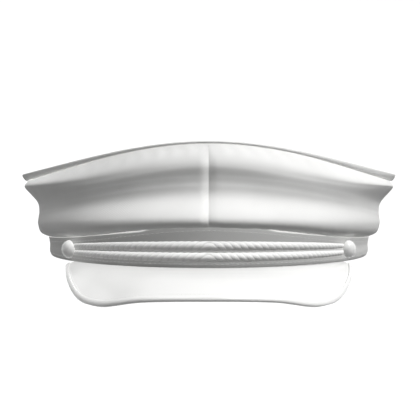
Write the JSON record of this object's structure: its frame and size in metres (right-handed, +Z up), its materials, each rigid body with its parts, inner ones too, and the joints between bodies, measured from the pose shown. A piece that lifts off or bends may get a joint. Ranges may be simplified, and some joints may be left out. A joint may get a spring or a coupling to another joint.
{
  "type": "cadet cap",
  "caption": "Low white cloth cap with a rolled crown, piped top edge, stiff band, glossy downturned peak and a doubled twisted cord held by domed side buttons.",
  "frame": {"origin": "centre of the bounding box's footprint, on the surface that the cap rests on", "axes": "+Z up, the peak points to -Y, +X is the right of the picture"},
  "size_m": [0.2062, 0.263, 0.0754],
  "materials": {
    "crown_cloth": "matt white twill",
    "piping_cloth": "satin white bias tape",
    "band_cloth": "matt off-white twill",
    "patent_leather": "glossy white",
    "twisted_cord": "satin white twist",
    "button_enamel": "glossy white"
  },
  "bodies": {
    "root": {"crown_side_right": "crown_cloth", "crown_side_left": "crown_cloth", "crown_top": "crown_cloth", "crown_piping": "piping_cloth", "band": "band_cloth", "visor": "patent_leather", "visor_edge_roll": "patent_leather", "chin_cord": "twisted_cord", "button_right": "button_enamel", "button_left": "button_enamel"}
  },
  "joints": []
}
